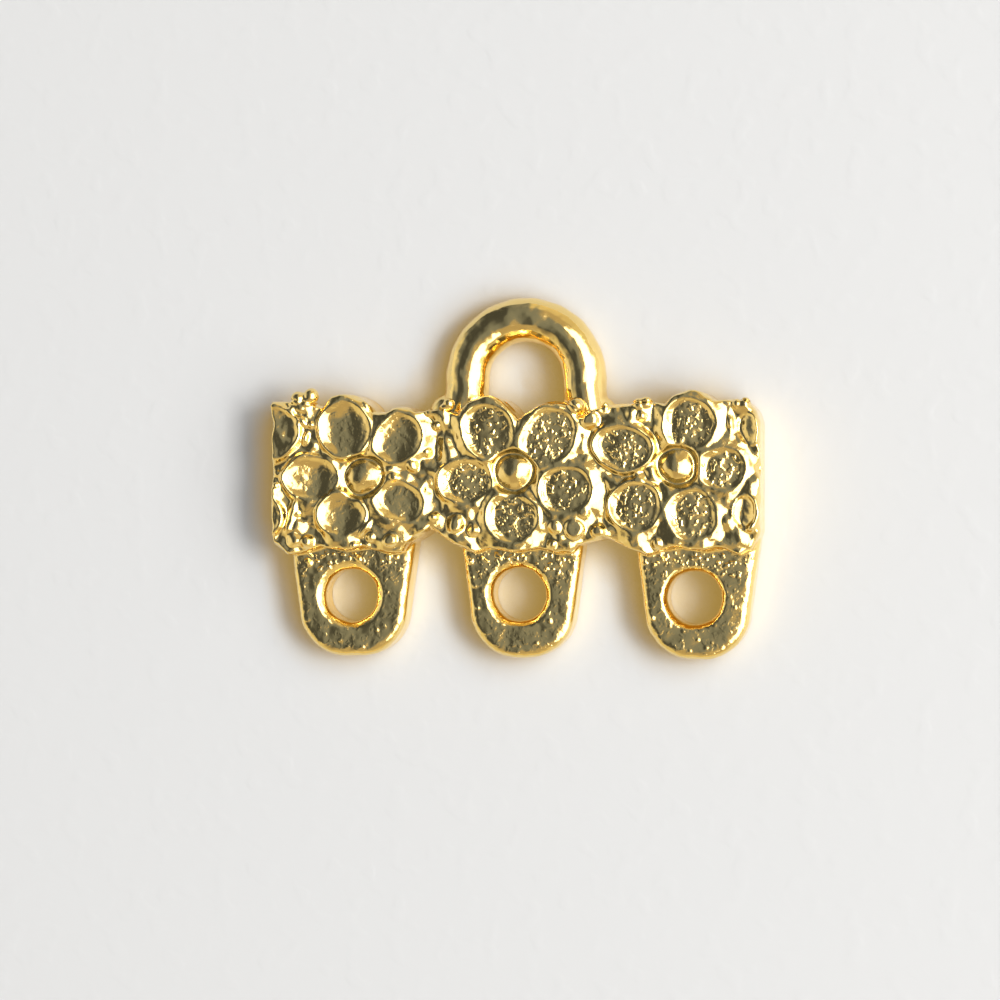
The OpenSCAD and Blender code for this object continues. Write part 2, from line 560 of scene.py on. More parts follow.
@dataclass(frozen=True)
class StrandTab:
    """A rounded tab with a hole for the end of one strand."""

    middle_x: float
    hole: Vector
    width: float = 4.4  # where it leaves the bar
    taper: float = 0.58  # how much each side draws in towards its free edge
    low_y: float = -6.25
    top_y: float = -1.9
    thickness: float = TAB_T
    corner_r: float = 1.4
    edge_r: float = 0.28
    back_edge_r: float = 0.2
    hole_r: float = 0.92
    mouth_r: float = 1.15
    mouth_depth: float = 0.32
    hole_steps: int = 64
    mouth_steps: int = 6
    corner_steps: int = 14
    edge_steps: int = 4
    past: float = 0.5  # how far the hole's shape reaches out of the back
    past_face: float = 0.1  # how far it reaches out of the face
    speck_spread: float = 0.75  # half width of a speck, as a share of its radius
    speck_rise: float = 0.4
    specks: tuple[tuple[float, float, float], ...] = ()  # place and radius of each

    def cutter(self) -> bmesh.types.BMesh:
        """Makes the hole's shape with its flared mouth.

        Returns:
            The closed form to cut away.
        """
        flare = self.mouth_r - self.hole_r
        profile = [(0, -self.past), (self.hole_r, -self.past)]
        for i in range(self.mouth_steps + 1):
            share = i / self.mouth_steps
            profile.append((self.hole_r + flare * share ** 2,
                            self.thickness - self.mouth_depth * (1 - share)))
        above = self.thickness + self.past_face
        profile += [(self.mouth_r + flare, above), (0, above)]
        bm = turned(profile, steps=self.hole_steps)
        bmesh.ops.translate(bm, vec=self.hole, verts=bm.verts)
        return bm

    def blank(self) -> bmesh.types.BMesh:
        """Makes the tab without its hole.

        Returns:
            The closed form.
        """
        bm = bmesh.new()
        bmesh.ops.create_cube(bm, size=1)
        middle_y = (self.top_y + self.low_y) / 2
        size = Vector((self.width, self.top_y - self.low_y, self.thickness))
        bmesh.ops.scale(bm, vec=size, verts=bm.verts)
        for vert in bm.verts:
            if vert.co.y < 0:
                vert.co.x -= math.copysign(self.taper, vert.co.x)
        bmesh.ops.translate(bm, verts=bm.verts, vec=(self.middle_x, middle_y, self.thickness / 2))
        corners = [e for e in bm.edges
                   if abs(e.verts[0].co.z - e.verts[1].co.z) > self.thickness / 2
                   and e.verts[0].co.y < middle_y]
        bmesh.ops.bevel(bm, geom=corners, offset=self.corner_r, offset_type="OFFSET",
                        segments=self.corner_steps, affect="EDGES", profile=0.5, material=-1)
        for high, width in ((True, self.edge_r), (False, self.back_edge_r)):
            rim = [e for e in bm.edges
                   if all((v.co.z > self.thickness / 2) == high for v in e.verts)]
            bmesh.ops.bevel(bm, geom=rim, offset=width, offset_type="OFFSET",
                            segments=self.edge_steps, affect="EDGES", profile=0.5, material=-1)
        return bm

    def forms(self) -> list[bmesh.types.BMesh]:
        """Makes the drilled tab."""
        return [cut_away(self.blank(), self.cutter())]

    def swell(self, co: np.ndarray) -> np.ndarray:
        """Works out how far its specks rise.

        Args:
            co: Places, one in each row.

        Returns:
            The rise at each place.
        """
        rise = np.zeros(len(co))
        for x, y, r in self.specks:
            half = self.speck_spread * r
            rise = np.maximum(rise, Lump(x, y, half, half, rise=self.speck_rise * r).swell(co))
        return rise


@dataclass(frozen=True)
class EdgePetals:
    """Petals of the same pattern where the ends of the bar cut through it."""

    petals: tuple[tuple[Vector, Petal], ...] = (
        (Vector((-8.43, 1.57, 0)), Petal(0, 0, 0.94, 0.87, 0)),
        (Vector((-8.97, -1.32, 0)), Petal(0, 0, 0.87, 0.75, 0)),
        (Vector((8.1, 1.6, 0)),
         Petal(0, 0, 0.52, 0.32, 93, depth=0.05, lean=30, lean_to=180, height=2.05)),
        (Vector((8.02, -1.2, 0)),
         Petal(0, 0, 0.6, 0.4, 88, depth=0.08, lean=22, lean_to=180, height=2.12)),
    )

    def press(self, co: np.ndarray, height: np.ndarray) -> np.ndarray:
        """Raises the petals out of the ground and gives each place its new height."""
        return petals_pressed(self.petals, co, height)


@dataclass(frozen=True)
class GrainField:
    """Small beads, grains and ridges between the petals."""

    # Place and radius of each round grain.
    grains: tuple[tuple[float, float, float], ...] = (
        (-7.72, 2.3, 0.18), (-7.06, 1.81, 0.12), (-2.66, 1.74, 0.14), (-2.92, 0.83, 0.16),
        (-3.45, 0.36, 0.2), (-4.1, 0.03, 0.16), (2.73, 1.92, 0.3), (4.5, 2.04, 0.17),
        (-8.28, 0.13, 0.13), (-8.28, -0.28, 0.12), (-7.54, -1.28, 0.1), (-7.7, -2.2, 0.24),
        (-7.2, -2.24, 0.22), (-5.46, -2.4, 0.17), (-4.96, -2.1, 0.16), (-4.24, -2.2, 0.22),
        (-1.97, -1.6, 0.3), (-1.34, -1.86, 0.2), (-2.7, -1.36, 0.16), (1.5, -1.74, 0.2),
        (2.2, -1.8, 0.32), (2.99, -1.85, 0.24), (2.54, -1.24, 0.18), (1.4, -2.3, 0.16),
        (4.4, -0.03, 0.2), (5.0, -2.28, 0.18), (8.21, -1.73, 0.14))
    # The same for the balls that stand out over the bar's edge.
    balls: tuple[tuple[float, float, float], ...] = (
        (-7.54, 2.7, 0.3), (-7.08, 2.82, 0.28), (-7.45, 2.4, 0.25), (-7.25, 2.6, 0.26),
        (-2.2, 2.52, 0.2), (-2.38, 2.34, 0.17), (-2.9, 2.2, 0.15), (-0.05, 2.06, 0.16),
        (2.22, 2.42, 0.32), (3.22, 2.32, 0.17), (4.38, 2.44, 0.24), (4.62, 2.5, 0.22),
        (7.72, 2.46, 0.17), (8.0, 2.52, 0.18))
    ball_z: float = 1.98  # height of their middles
    ball_steps: int = 20
    ball_rings: int = 12
    grain_spread: float = 1.15  # half width of a grain, as a share of its radius
    grain_rise: float = 0.9
    ridges: tuple[Lump, ...] = (
        Lump(-7.4, 1.99, 0.36, 0.14, -50),
        Lump(-7.25, 1.36, 0.28, 0.13, 75),
        Lump(-5.12, -1.76, 0.4, 0.12, 52),
        Lump(-7.75, -1.3, 0.75, 0.16, 75, 0.12),
        Lump(-4.3, 0.22, 0.5, 0.12, 5, 0.08),
        Lump(7.5, 1.9, 0.5, 0.14, 95, 0.08),
    )

    def forms(self) -> list[bmesh.types.BMesh]:
        """Makes the balls that stand out over the bar's edge."""
        return [ball(Vector((x, y, self.ball_z)), r, self.ball_steps, self.ball_rings)
                for x, y, r in self.balls]

    def balls_over(self, co: np.ndarray, height: np.ndarray) -> np.ndarray:
        """Raises the ground to the balls where they lie on it.

        Args:
            co: Places, one in each row.
            height: The ground's height there.

        Returns:
            The new height at each place.
        """
        for x, y, r in self.balls:
            far = np.hypot(co[:, 0] - x, co[:, 1] - y)
            top = self.ball_z + np.sqrt(np.maximum(r ** 2 - far ** 2, 0))
            height = np.where(far < r, soft_max(height, top, BLEND), height)
        return height

    def swell(self, co: np.ndarray) -> np.ndarray:
        """Works out how far the grains rise above what they lie on.

        Args:
            co: Places, one in each row.

        Returns:
            The rise at each place.
        """
        rise = np.zeros(len(co))
        for x, y, r in self.grains:
            half = self.grain_spread * r
            rise = np.maximum(rise, Lump(x, y, half, half, rise=self.grain_rise * r).swell(co))
        for ridge in self.ridges:
            rise = np.maximum(rise, ridge.swell(co))
        return rise


@dataclass(frozen=True)
class Wiring:
    """Adds nodes to one tree, each joined to what it works on."""

    tree: bpy.types.NodeTree

    def feed(self, socket: bpy.types.NodeSocket, value: object) -> None:
        """Gives a socket a number, a colour or what another node puts out.

        Args:
            socket: The socket.
            value: What it gets.
        """
        if isinstance(value, bpy.types.NodeSocket):
            self.tree.links.new(value, socket)
        else:
            socket.default_value = value

    def math(self, kind: str, a: object, b: object = 0.0) -> bpy.types.NodeSocket:
        """Adds a math node.

        Args:
            kind: What it does.
            a: Its first socket or number.
            b: Its second.

        Returns:
            The outcome.
        """
        node = self.tree.nodes.new("ShaderNodeMath")
        node.operation = kind
        self.feed(node.inputs[0], a)
        self.feed(node.inputs[1], b)
        return node.outputs["Value"]

    def ramp(self, value: bpy.types.NodeSocket, over: Range, to: Range = (0.0, 1.0),
             kind: str = "SMOOTHSTEP") -> bpy.types.NodeSocket:
        """Adds a change from one number to another as a value grows.

        Args:
            value: The value.
            over: Where the change starts and ends.
            to: The number before it and the number after it.
            kind: How it goes from one to the other.

        Returns:
            The outcome.
        """
        node = self.tree.nodes.new("ShaderNodeMapRange")
        node.interpolation_type = kind
        for name, number in zip(("From Min", "From Max", "To Min", "To Max"), (*over, *to)):
            node.inputs[name].default_value = number
        self.feed(node.inputs["Value"], value)
        return node.outputs["Result"]

    def mix(self, share: bpy.types.NodeSocket, a: object, b: object) -> bpy.types.NodeSocket:
        """Adds a mix of two colours.

        Args:
            share: How much of the second there is.
            a: The first colour, or a socket.
            b: The second.

        Returns:
            The mixed colour.
        """
        node = self.tree.nodes.new("ShaderNodeMix")
        node.data_type = "RGBA"
        self.feed(node.inputs["Factor"], share)
        colours = [socket for socket in node.inputs if socket.type == "RGBA"]
        for socket, value in zip(colours, (a, b)):
            self.feed(socket, value)
        return next(socket for socket in node.outputs if socket.type == "RGBA")


@dataclass(frozen=True)
class SurfaceGrain:
    """A node group that turns fine noise into a bump, used by every material."""

    name: str = "surface_grain"
    detail: float = 1.0
    dots: Range = (0.49, 0.72)  # part of the noise from the foot to the top of a grain

    def tree(self) -> bpy.types.NodeTree:
        """Builds the group once, and finds it again after that.

        Returns:
            The group, with the sockets Scale, Depth, Share and Normal.
        """
        if self.name in bpy.data.node_groups:
            return bpy.data.node_groups[self.name]
        group = bpy.data.node_groups.new(self.name, "ShaderNodeTree")
        for name in ("Scale", "Depth", "Share"):
            group.interface.new_socket(name, in_out="INPUT", socket_type="NodeSocketFloat")
        group.interface.new_socket("Normal", in_out="OUTPUT", socket_type="NodeSocketVector")
        nodes, links = group.nodes, group.links
        given = nodes.new("NodeGroupInput")
        result = nodes.new("NodeGroupOutput")
        where = nodes.new("ShaderNodeTexCoord")
        grain = nodes.new("ShaderNodeTexNoise")
        grain.inputs["Detail"].default_value = self.detail
        links.new(where.outputs["Object"], grain.inputs["Vector"])
        links.new(given.outputs["Scale"], grain.inputs["Scale"])
        wiring = Wiring(group)
        dots = wiring.ramp(grain.outputs["Fac"], self.dots)
        height = wiring.math("MULTIPLY", dots, given.outputs["Share"])
        bump = nodes.new("ShaderNodeBump")
        links.new(height, bump.inputs["Height"])
        links.new(given.outputs["Depth"], bump.inputs["Distance"])
        links.new(bump.outputs["Normal"], result.inputs["Normal"])
        return group

    def node(self, mat: bpy.types.Material, wave_mm: float, depth_mm: float) -> bpy.types.Node:
        """Adds the group to a material and joins it to the shader.

        Args:
            mat: The material.
            wave_mm: Length of a wave of the noise.
            depth_mm: Height of the bump.

        Returns:
            The group's node.
        """
        made = mat.node_tree.nodes.new("ShaderNodeGroup")
        made.node_tree = self.tree()
        made.inputs["Scale"].default_value = 1 / (wave_mm * MM)
        made.inputs["Depth"].default_value = depth_mm * MM
        made.inputs["Share"].default_value = 1.0
        shader = mat.node_tree.nodes["Principled BSDF"]
        mat.node_tree.links.new(made.outputs["Normal"], shader.inputs["Normal"])
        return made


@dataclass(frozen=True)
class PlatedGold:
    """Bright pale gold plating on a lumpy casting."""

    colour: Colour = (0.93, 0.695, 0.27, 1.0)
    # Where the cast surface is smoothest, and where it is roughest.
    roughness: Range = (0.14, 0.2)
    grain_mm: float = 0.19
    grain_depth_mm: float = 0.03

    def material(self) -> bpy.types.Material:
        """Builds the material.

        Returns:
            The material, with its pattern on Object coordinates.
        """
        mat = bpy.data.materials.new("plated_gold")
        mat.use_nodes = True
        nodes, links = mat.node_tree.nodes, mat.node_tree.links
        shader = nodes["Principled BSDF"]
        shader.inputs["Metallic"].default_value = 1.0
        shader.inputs["Base Color"].default_value = self.colour
        skin = nodes.new("ShaderNodeAttribute")
        skin.attribute_name = CAST_SKIN
        grain = SurfaceGrain().node(mat, self.grain_mm, self.grain_depth_mm)
        links.new(skin.outputs["Fac"], grain.inputs["Share"])
        dull = Wiring(mat.node_tree).ramp(skin.outputs["Fac"], (0.0, 1.0), self.roughness, "LINEAR")
        links.new(dull, shader.inputs["Roughness"])
        return mat


@dataclass(frozen=True)
class PaleFloor:
    """The matt pale card that the casting lies on, with painted shade near the casting and a painted
    golden glow in its shadows for the light that the gold reflects.
    """

    colour: Colour = (0.582, 0.58, 0.574, 1.0)
    # Painted shade: the base colour is darkened towards this where the casting hides the light.
    shade: Colour = (0.0, 0.0, 0.0, 1.0)
    # Painted glow: emission in the gold's colour that stands in for light the gold reflects onto the
    # floor, though the floor is no lamp.
    painted_glow: Colour = (0.36, 0.225, 0.05, 1.0)
    # Open share of the sky over which the painted shade and the painted glow fade, and their strength
    # at its two ends.
    shade_over: Range = (0.32, 0.84)
    shade_from: Range = (0.97, 0.0)
    glow_over: Range = (0.5, 0.84)
    glow_from: Range = (1.0, 0.0)
    reach_mm: float = 1.7  # how far the casting shades and brightens it
    rays: int = 6  # by which the open share of the sky is measured at each place
    key_tilt: float = KEY_TILT
    grain_mm: float = 0.8
    grain_depth_mm: float = 0.005

    def material(self) -> bpy.types.Material:
        """Builds the material.

        Returns:
            The material.
        """
        mat = bpy.data.materials.new("pale_floor")
        mat.use_nodes = True
        links = mat.node_tree.links
        shader = mat.node_tree.nodes["Principled BSDF"]
        shader.inputs["Emission Color"].default_value = self.painted_glow
        wiring = Wiring(mat.node_tree)
        sky = self.open_sky(mat)
        # Painted glow: emission that grows where the casting closes off the sky towards the light.
        glowing = wiring.ramp(sky, self.glow_over, self.glow_from, "LINEAR")
        links.new(glowing, shader.inputs["Emission Strength"])
        # Painted shade: the base colour darkened where the casting closes off the sky towards the
        # light.
        shaded = wiring.ramp(sky, self.shade_over, self.shade_from, "LINEAR")
        links.new(wiring.mix(shaded, self.colour, self.shade), shader.inputs["Base Color"])
        SurfaceGrain().node(mat, self.grain_mm, self.grain_depth_mm)
        return mat

    def open_sky(self, mat: bpy.types.Material) -> bpy.types.NodeSocket:
        """Adds a measure of how openly the floor lies towards the light.

        Args:
            mat: The floor's material.

        Returns:
            The open share of the sky, 1 far from the casting.
        """
        side = mat.node_tree.nodes.new("ShaderNodeCombineXYZ")
        side.inputs["X"].default_value = math.sin(math.radians(self.key_tilt))
        side.inputs["Z"].default_value = math.cos(math.radians(self.key_tilt))
        shade = mat.node_tree.nodes.new("ShaderNodeAmbientOcclusion")
        shade.samples = self.rays
        shade.inputs["Distance"].default_value = self.reach_mm * MM
        mat.node_tree.links.new(side.outputs["Vector"], shade.inputs["Normal"])
        return shade.outputs["AO"]


@dataclass(frozen=True)
class Casting:
    """The whole casting: the forms fused, the relief pressed in, worked over and plated."""

    bar: BarGround
    blossoms: Sequence[Blossom]
    edge_petals: EdgePetals
    grains: GrainField
    loop: ClaspLoop
    tabs: Sequence[StrandTab]
    voxel: float = 0.045
    settling: int = 1  # how many times the pressed relief is smoothed
    settling_share: float = 0.5  # how far it is smoothed each time
    # How far the cast forms wander from their true outlines, in X and in Y.
    wander: tuple[Waves, ...] = (Waves(0.1, 1.2, 3), Waves(0.1, 1.2, 11))
    lumps: float = 0.05  # height of the lumps outside the dishes and beads
    lump_waves: tuple[Waves, ...] = (Waves(1, 2.3), Waves(0.35, 5.2, 5))
    ceiling_blend: float = 0.04
    bead_edge: Range = (0.9, 1.3)  # where the lumps start round a bead, in its half widths
    dish_edge: Range = (0.95, 1.15)  # the same round a dish, in shares of the way to its rim
    over_edge: float = 0.06  # how far outside its outline the bar is still pressed
    speck_z: Range = (1.2, 1.27)  # heights over which a tab's edge turns into its face
    rim_polish: Range = (0.75, 0.95)  # where a rim's polish starts, as a share of the way to it
    relief_z: Range = (PRESS_Z, 1.5)  # heights over which the relief's own roughness starts
    tab_z: Range = (1.2, 1.28)  # the same for a tab's face
    tab_end_y: Range = (-2.7, -2.5)  # where that ends
    tab_rough: float = 0.2
    root_rough: float = 0.46  # how much rougher a tab is next to the bar
    root_y: Range = (-3.9, -2.7)  # where that comes in
    swells: Waves = Waves(0.03, 1.7)  # of the whole skin
    fine: Waves = Waves(1, 5.5)  # its fine grain, for a height of 1
    fine_h: float = 0.008  # the height that the grain has on polished skin
    rough_h: float = 0.014  # how much higher it is on the roughest
    back_z: Range = (0.05, 0.3)  # heights over which both start
    flat_z: float = 0.04  # what is lower is brought down to the flat back
    triangles: int = 196_000

    def fuse(self) -> bpy.types.Object:
        """Pours the forms into one mould and remeshes them as one skin.

        Returns:
            The casting in millimetres, with a flat-topped bar.
        """
        mould = bmesh.new()
        for sub_assembly in (self.bar, *self.blossoms, self.grains, self.loop, *self.tabs):
            made = sub_assembly.forms()
            log.info("%s: %d forms", type(sub_assembly).__name__, len(made))
            for form in made:
                poured_into(mould, form)
        piece = as_object(mould, "connector_casting")
        skin = piece.modifiers.new("skin", "REMESH")
        skin.mode = "VOXEL"
        skin.voxel_size = self.voxel
        finished(piece)
        log.info("fused: %d faces", len(piece.data.polygons))
        return piece

    def places(self, mesh: bpy.types.Mesh) -> np.ndarray:
        """Reads where a mesh's vertices are.

        Args:
            mesh: The mesh.

        Returns:
            Their places, one in each row.
        """
        co = np.empty(len(mesh.vertices) * 3, np.float32)
        mesh.vertices.foreach_get("co", co)
        return co.reshape(-1, 3).astype(float)

    def relief(self, co: np.ndarray, within: np.ndarray) -> np.ndarray:
        """Works out the height of the bar's relief.

        Args:
            co: Places, one in each row.
            within: Their distance inside the bar's outline.

        Returns:
            The height at each place.
        """
        flat = co * (1, 1, 0)
        wander = [waves.at(flat) for waves in self.wander] + [np.zeros(len(co))]
        bent = co + np.stack(wander, axis=1)
        height = self.edge_petals.press(bent, self.bar.level(co))
        for blossom in self.blossoms:
            height = blossom.press(bent, height)
        lumps = self.lumps * sum(waves.at(flat) for waves in self.lump_waves)
        height = height + self.grains.swell(co) + lumps * (1 - self.in_dishes(bent))
        height = height - self.bar.edge_fall(within + self.bar.ragged.at(flat))
        height = self.grains.balls_over(co, height)
        return -soft_max(-height, -CEILING, self.ceiling_blend)

    def in_dishes(self, co: np.ndarray) -> np.ndarray:
        """Says how far inside a dish or a bead each place lies.

        Args:
            co: Places, one in each row.

        Returns:
            A share from 0 to 1 for each.
        """
        inside = np.zeros(len(co))
        for blossom in self.blossoms:
            far = np.hypot(co[:, 0] - blossom.place.x, co[:, 1] - blossom.place.y)
            inside = np.maximum(inside, 1 - smooth_step(self.bead_edge, far / blossom.bead_r))
            for petal in blossom.petals:
                _, share, _ = petal.seen_from(blossom.place, co)
                inside = np.maximum(inside, 1 - smooth_step(self.dish_edge, share))
        return inside

    def press(self, piece: bpy.types.Object) -> None:
        """Presses the relief into the top of the bar.

        Args:
            piece: The fused casting in millimetres.
        """
        co = self.places(piece.data)
        above = co[:, 2] > PRESS_Z
        top = co[above]
        within = depth_within(self.bar.outline, top)
        for blossom in self.blossoms:
            for petal in blossom.petals:
                _, _, beyond = petal.seen_from(blossom.place, top)
                within = np.maximum(within, petal.apron - beyond)
        height = self.relief(top, within)
        share = (height - PRESS_Z) / (BLOCK_T - PRESS_Z)
        on_bar = within > -self.over_edge
        top[:, 2] = np.where(on_bar, PRESS_Z + (top[:, 2] - PRESS_Z) * share, top[:, 2])
        co[above] = top
        for tab in self.tabs:
            face = smooth_step(self.speck_z, co[:, 2]) * (co[:, 2] < PRESS_Z)
            co[:, 2] += tab.swell(co) * face
        piece.data.vertices.foreach_set("co", co.astype(np.float32).ravel())
        settle = piece.modifiers.new("settle", "SMOOTH")
        settle.factor = self.settling_share
        settle.iterations = self.settling
        finished(piece)

    def skin_at(self, co: np.ndarray) -> np.ndarray:
        """Says how rough the cast surface is at each point.

        Args:
            co: Places in millimetres.

        Returns:
            A share from 0 to 1 for each.
        """
        rough = np.full(len(co), Skin.POLISHED.value)
        for blossom in self.blossoms:
            for petal in blossom.petals:
                _, share, _ = petal.seen_from(blossom.place, co)
                in_dish = 1 - smooth_step(self.rim_polish, share)
                rough = np.maximum(rough, in_dish * blossom.skin.value)
        rough *= smooth_step(self.relief_z, co[:, 2])
        face = smooth_step(self.tab_z, co[:, 2]) * (1 - smooth_step(self.tab_end_y, co[:, 1]))
        on_tab = self.tab_rough + self.root_rough * smooth_step(self.root_y, co[:, 1])
        return np.maximum(rough, face * on_tab)

    def work_over(self, piece: bpy.types.Object) -> None:
        """Gives the skin its lumps, and flattens the back.

        Args:
            piece: The fused casting in millimetres.
        """
        mesh = piece.data
        co = self.places(mesh)
        normal = np.empty(len(mesh.vertices) * 3, np.float32)
        mesh.vertex_normals.foreach_get("vector", normal)
        rough = self.skin_at(co)
        shift = self.swells.at(co) + (self.fine_h + self.rough_h * rough) * self.fine.at(co)
        shift *= smooth_step(self.back_z, co[:, 2])
        co += normal.reshape(-1, 3) * shift[:, None]
        co[:, 2] = np.where(co[:, 2] < self.flat_z, 0.0, co[:, 2])
        mesh.vertices.foreach_set("co", co.astype(np.float32).ravel())
        mesh.update()

    def thin(self, piece: bpy.types.Object) -> None:
        """Takes faces out where the skin is flat, down to the piece's budget.

        Args:
            piece: The casting.
        """
        now = 2 * len(piece.data.polygons)
        if now > self.triangles:
            fewer = piece.modifiers.new("fewer", "DECIMATE")
            fewer.ratio = self.triangles / now
            finished(piece)
        log.info("thinned: %d triangles", len(piece.data.polygons))

    def plate(self, piece: bpy.types.Object) -> None:
        """Marks the roughness on the mesh, brings it to metres and plates it.

        Args:
            piece: The casting in millimetres.
        """
        mesh = piece.data
        mark = mesh.attributes.new(CAST_SKIN, "FLOAT", "POINT")
        mark.data.foreach_set("value", self.skin_at(self.places(mesh)).astype(np.float32))
        mesh.transform(Matrix.Scale(MM, 4))
        mesh.shade_smooth()
        mesh.materials.clear()
        mesh.materials.append(PlatedGold().material())

    def build(self) -> bpy.types.Object:
        """Makes the casting.

        Returns:
            The finished piece, in metres.
        """
        piece = self.fuse()
        self.press(piece)
        self.work_over(piece)
        self.thin(piece)
        self.plate(piece)
        return piece


@dataclass(frozen=True)
class Softbox:
    """A rectangular light on the right, given by the directions that it covers in degrees."""

    name: str
    level: float  # its brightness
    middle: float  # direction of its middle towards the right
    half_across: float
    half_along: float
    far: float = 1.2  # its distance in metres

    def hang(self) -> bpy.types.Object:
        """Hangs it over the casting.

        Returns:
            The light.
        """
        light = bpy.data.lights.new(self.name, "AREA")
        light.shape = "RECTANGLE"
        light.size = 2 * self.far * math.tan(math.radians(self.half_across))
        light.size_y = 2 * self.far * math.tan(math.radians(self.half_along))
        light.energy = self.level * math.pi * light.size * light.size_y
        made = bpy.data.objects.new(self.name, light)
        tilt = math.radians(self.middle)
        made.location = (self.far * math.sin(tilt), 0, self.far * math.cos(tilt))
        made.rotation_euler = (0, tilt, 0)
        bpy.context.scene.collection.objects.link(made)
        return made


@dataclass(frozen=True)
class RoomLight:
    """The room's own light: a dark dome overhead, pale sides and dimmer ends.

    Places in it are the X and Y of a direction, which reach 1 at the horizon.
    """

    dome_middle: tuple[float, float] = (-0.38, 0.33)
    dome_half: tuple[float, float] = (0.468, 0.83)
    dome_edge: Range = (0.86, 1.2)  # where the room takes over, as shares of those half sizes
    overhead: Colour = (0.12, 0.136, 0.17, 1.0)
    levels: Range = (0.55, 2.0)  # shares of that in the dome's deepest and palest part
    deepest_x: float = -0.5
    paling: Range = (0.08, 0.38)  # distance from there over which it pales
    left: Colour = (0.8, 0.71, 0.48, 1.0)
    low_left: Colour = (1.0, 0.96, 0.84, 1.0)
    ends: Colour = (0.52, 0.43, 0.29, 1.0)
    low_ends: Colour = (0.85, 0.74, 0.5, 1.0)
    sideways: Range = (0.3, 0.65)  # where the ends give way to the sides
    low: Range = (0.75, 1.0)  # where both turn into their low part
    on_floor: Colour = (0.14, 0.14, 0.14, 1.0)  # what lights the matt floor instead
    backdrop: Colour = (0.8, 0.8, 0.78, 1.0)  # what the camera sees behind everything

    def from_dome(self, wiring: Wiring, places: bpy.types.Node) -> bpy.types.NodeSocket:
        """Adds a measure of how far a direction lies from the middle of the dome.

        Args:
            wiring: The world's nodes.
            places: The node that gives the direction's X and Y.

        Returns:
            The distance, 1 at the edge.
        """
        squares = []
        for axis, middle, half in zip("XY", self.dome_middle, self.dome_half):
            off = wiring.math("DIVIDE", wiring.math("ADD", places.outputs[axis], -middle), half)
            squares.append(wiring.math("MULTIPLY", off, off))
        return wiring.math("SQRT", wiring.math("ADD", *squares))

    def dome(self, wiring: Wiring, places: bpy.types.Node) -> bpy.types.NodeSocket:
        """Adds the colour of the dome.

        Args:
            wiring: The world's nodes.
            places: The node that gives the direction's X and Y.

        Returns:
            The colour.
        """
        off = wiring.math("ABSOLUTE", wiring.math("ADD", places.outputs["X"], -self.deepest_x))
        deepest, palest = (tuple(share * c for c in self.overhead) for share in self.levels)
        return wiring.mix(wiring.ramp(off, self.paling), deepest, palest)

    def room(self, wiring: Wiring, places: bpy.types.Node) -> bpy.types.NodeSocket:
        """Adds the colour of the room round the dome.

        Args:
            wiring: The world's nodes.
            places: The node that gives the direction's X and Y.

        Returns:
            The colour.
        """
        across, along = (wiring.math("ABSOLUTE", places.outputs[axis]) for axis in "XY")
        sides = wiring.mix(wiring.ramp(across, self.low), self.left, self.low_left)
        ends = wiring.mix(wiring.ramp(along, self.low), self.ends, self.low_ends)
        return wiring.mix(wiring.ramp(across, self.sideways), ends, sides)

    def shine(self) -> None:
        """Makes it the light of the scene's world."""
        world = bpy.data.worlds.new("studio")
        bpy.context.scene.world = world
        world.use_nodes = True
        nodes, links = world.node_tree.nodes, world.node_tree.links
        nodes.clear()
        wiring = Wiring(world.node_tree)
        where = nodes.new("ShaderNodeTexCoord")
        places = nodes.new("ShaderNodeSeparateXYZ")
        links.new(where.outputs["Generated"], places.inputs["Vector"])
        from_dome = wiring.ramp(self.from_dome(wiring, places), self.dome_edge)
        level = wiring.mix(from_dome, self.dome(wiring, places), self.room(wiring, places))
        seen = nodes.new("ShaderNodeLightPath")
        from_floor = wiring.ramp(seen.outputs["Diffuse Depth"], (0.0, 1.0))
        lit = wiring.mix(from_floor, level, self.on_floor)
        light = nodes.new("ShaderNodeBackground")
        shown = wiring.mix(seen.outputs["Is Camera Ray"], lit, self.backdrop)
        links.new(shown, light.inputs["Color"])
        out = nodes.new("ShaderNodeOutputWorld")
        links.new(light.outputs["Background"], out.inputs["Surface"])


@dataclass(frozen=True)
class Studio:
    """The floor, the lights and the camera, whose lengths are in millimetres."""

    look_at: Vector = Vector((-0.56, -0.796, 1.2))
    camera_far: float = 96.17
    camera_tilt: float = 10.0  # towards the right, in degrees
    lens: float = 100.0
    sensor: float = 36.0
    clip_m: Range = (0.001, 10.0)  # nearest and farthest that it sees, in metres
    floor_half_m: float = 0.5  # half the floor's width, in metres
    floor_gap_m: float = 0.00001  # how far it lies below the casting's back
    key: Softbox = Softbox("key_softbox", 3.0, middle=KEY_TILT, half_across=27.0, half_along=36.0)
    lamp: Softbox = Softbox("key_lamp", 22.0, middle=42.0, half_across=7.0, half_along=12.0)

    def floor(self) -> bpy.types.Object:
        """Lays the floor that the casting rests on.

        Returns:
            The floor.
        """
        bm = bmesh.new()
        bmesh.ops.create_grid(bm, x_segments=1, y_segments=1, size=self.floor_half_m)
        bmesh.ops.translate(bm, vec=(0, 0, -self.floor_gap_m), verts=bm.verts)
        made = as_object(bm, "floor")
        made.data.materials.append(PaleFloor().material())
        return made

    def camera(self) -> bpy.types.Object:
        """Places the camera above and a little to the right, as in the photo.

        Returns:
            The camera.
        """
        data = bpy.data.cameras.new("camera")
        data.lens = self.lens
        data.sensor_width = self.sensor
        data.clip_start, data.clip_end = self.clip_m
        made = bpy.data.objects.new("camera", data)
        tilt = math.radians(self.camera_tilt)
        back = self.camera_far * Vector((math.sin(tilt), 0, math.cos(tilt)))
        made.location = (self.look_at + back) * MM
        made.rotation_euler = (0, tilt, 0)
        bpy.context.scene.collection.objects.link(made)
        bpy.context.scene.camera = made
        return made

    def build(self) -> None:
        """Sets up the floor, the lights and the camera."""
        self.floor()
        self.key.hang()
        self.lamp.hang()
        RoomLight().shine()
        self.camera()
        bpy.context.scene.view_settings.view_transform = "Standard"


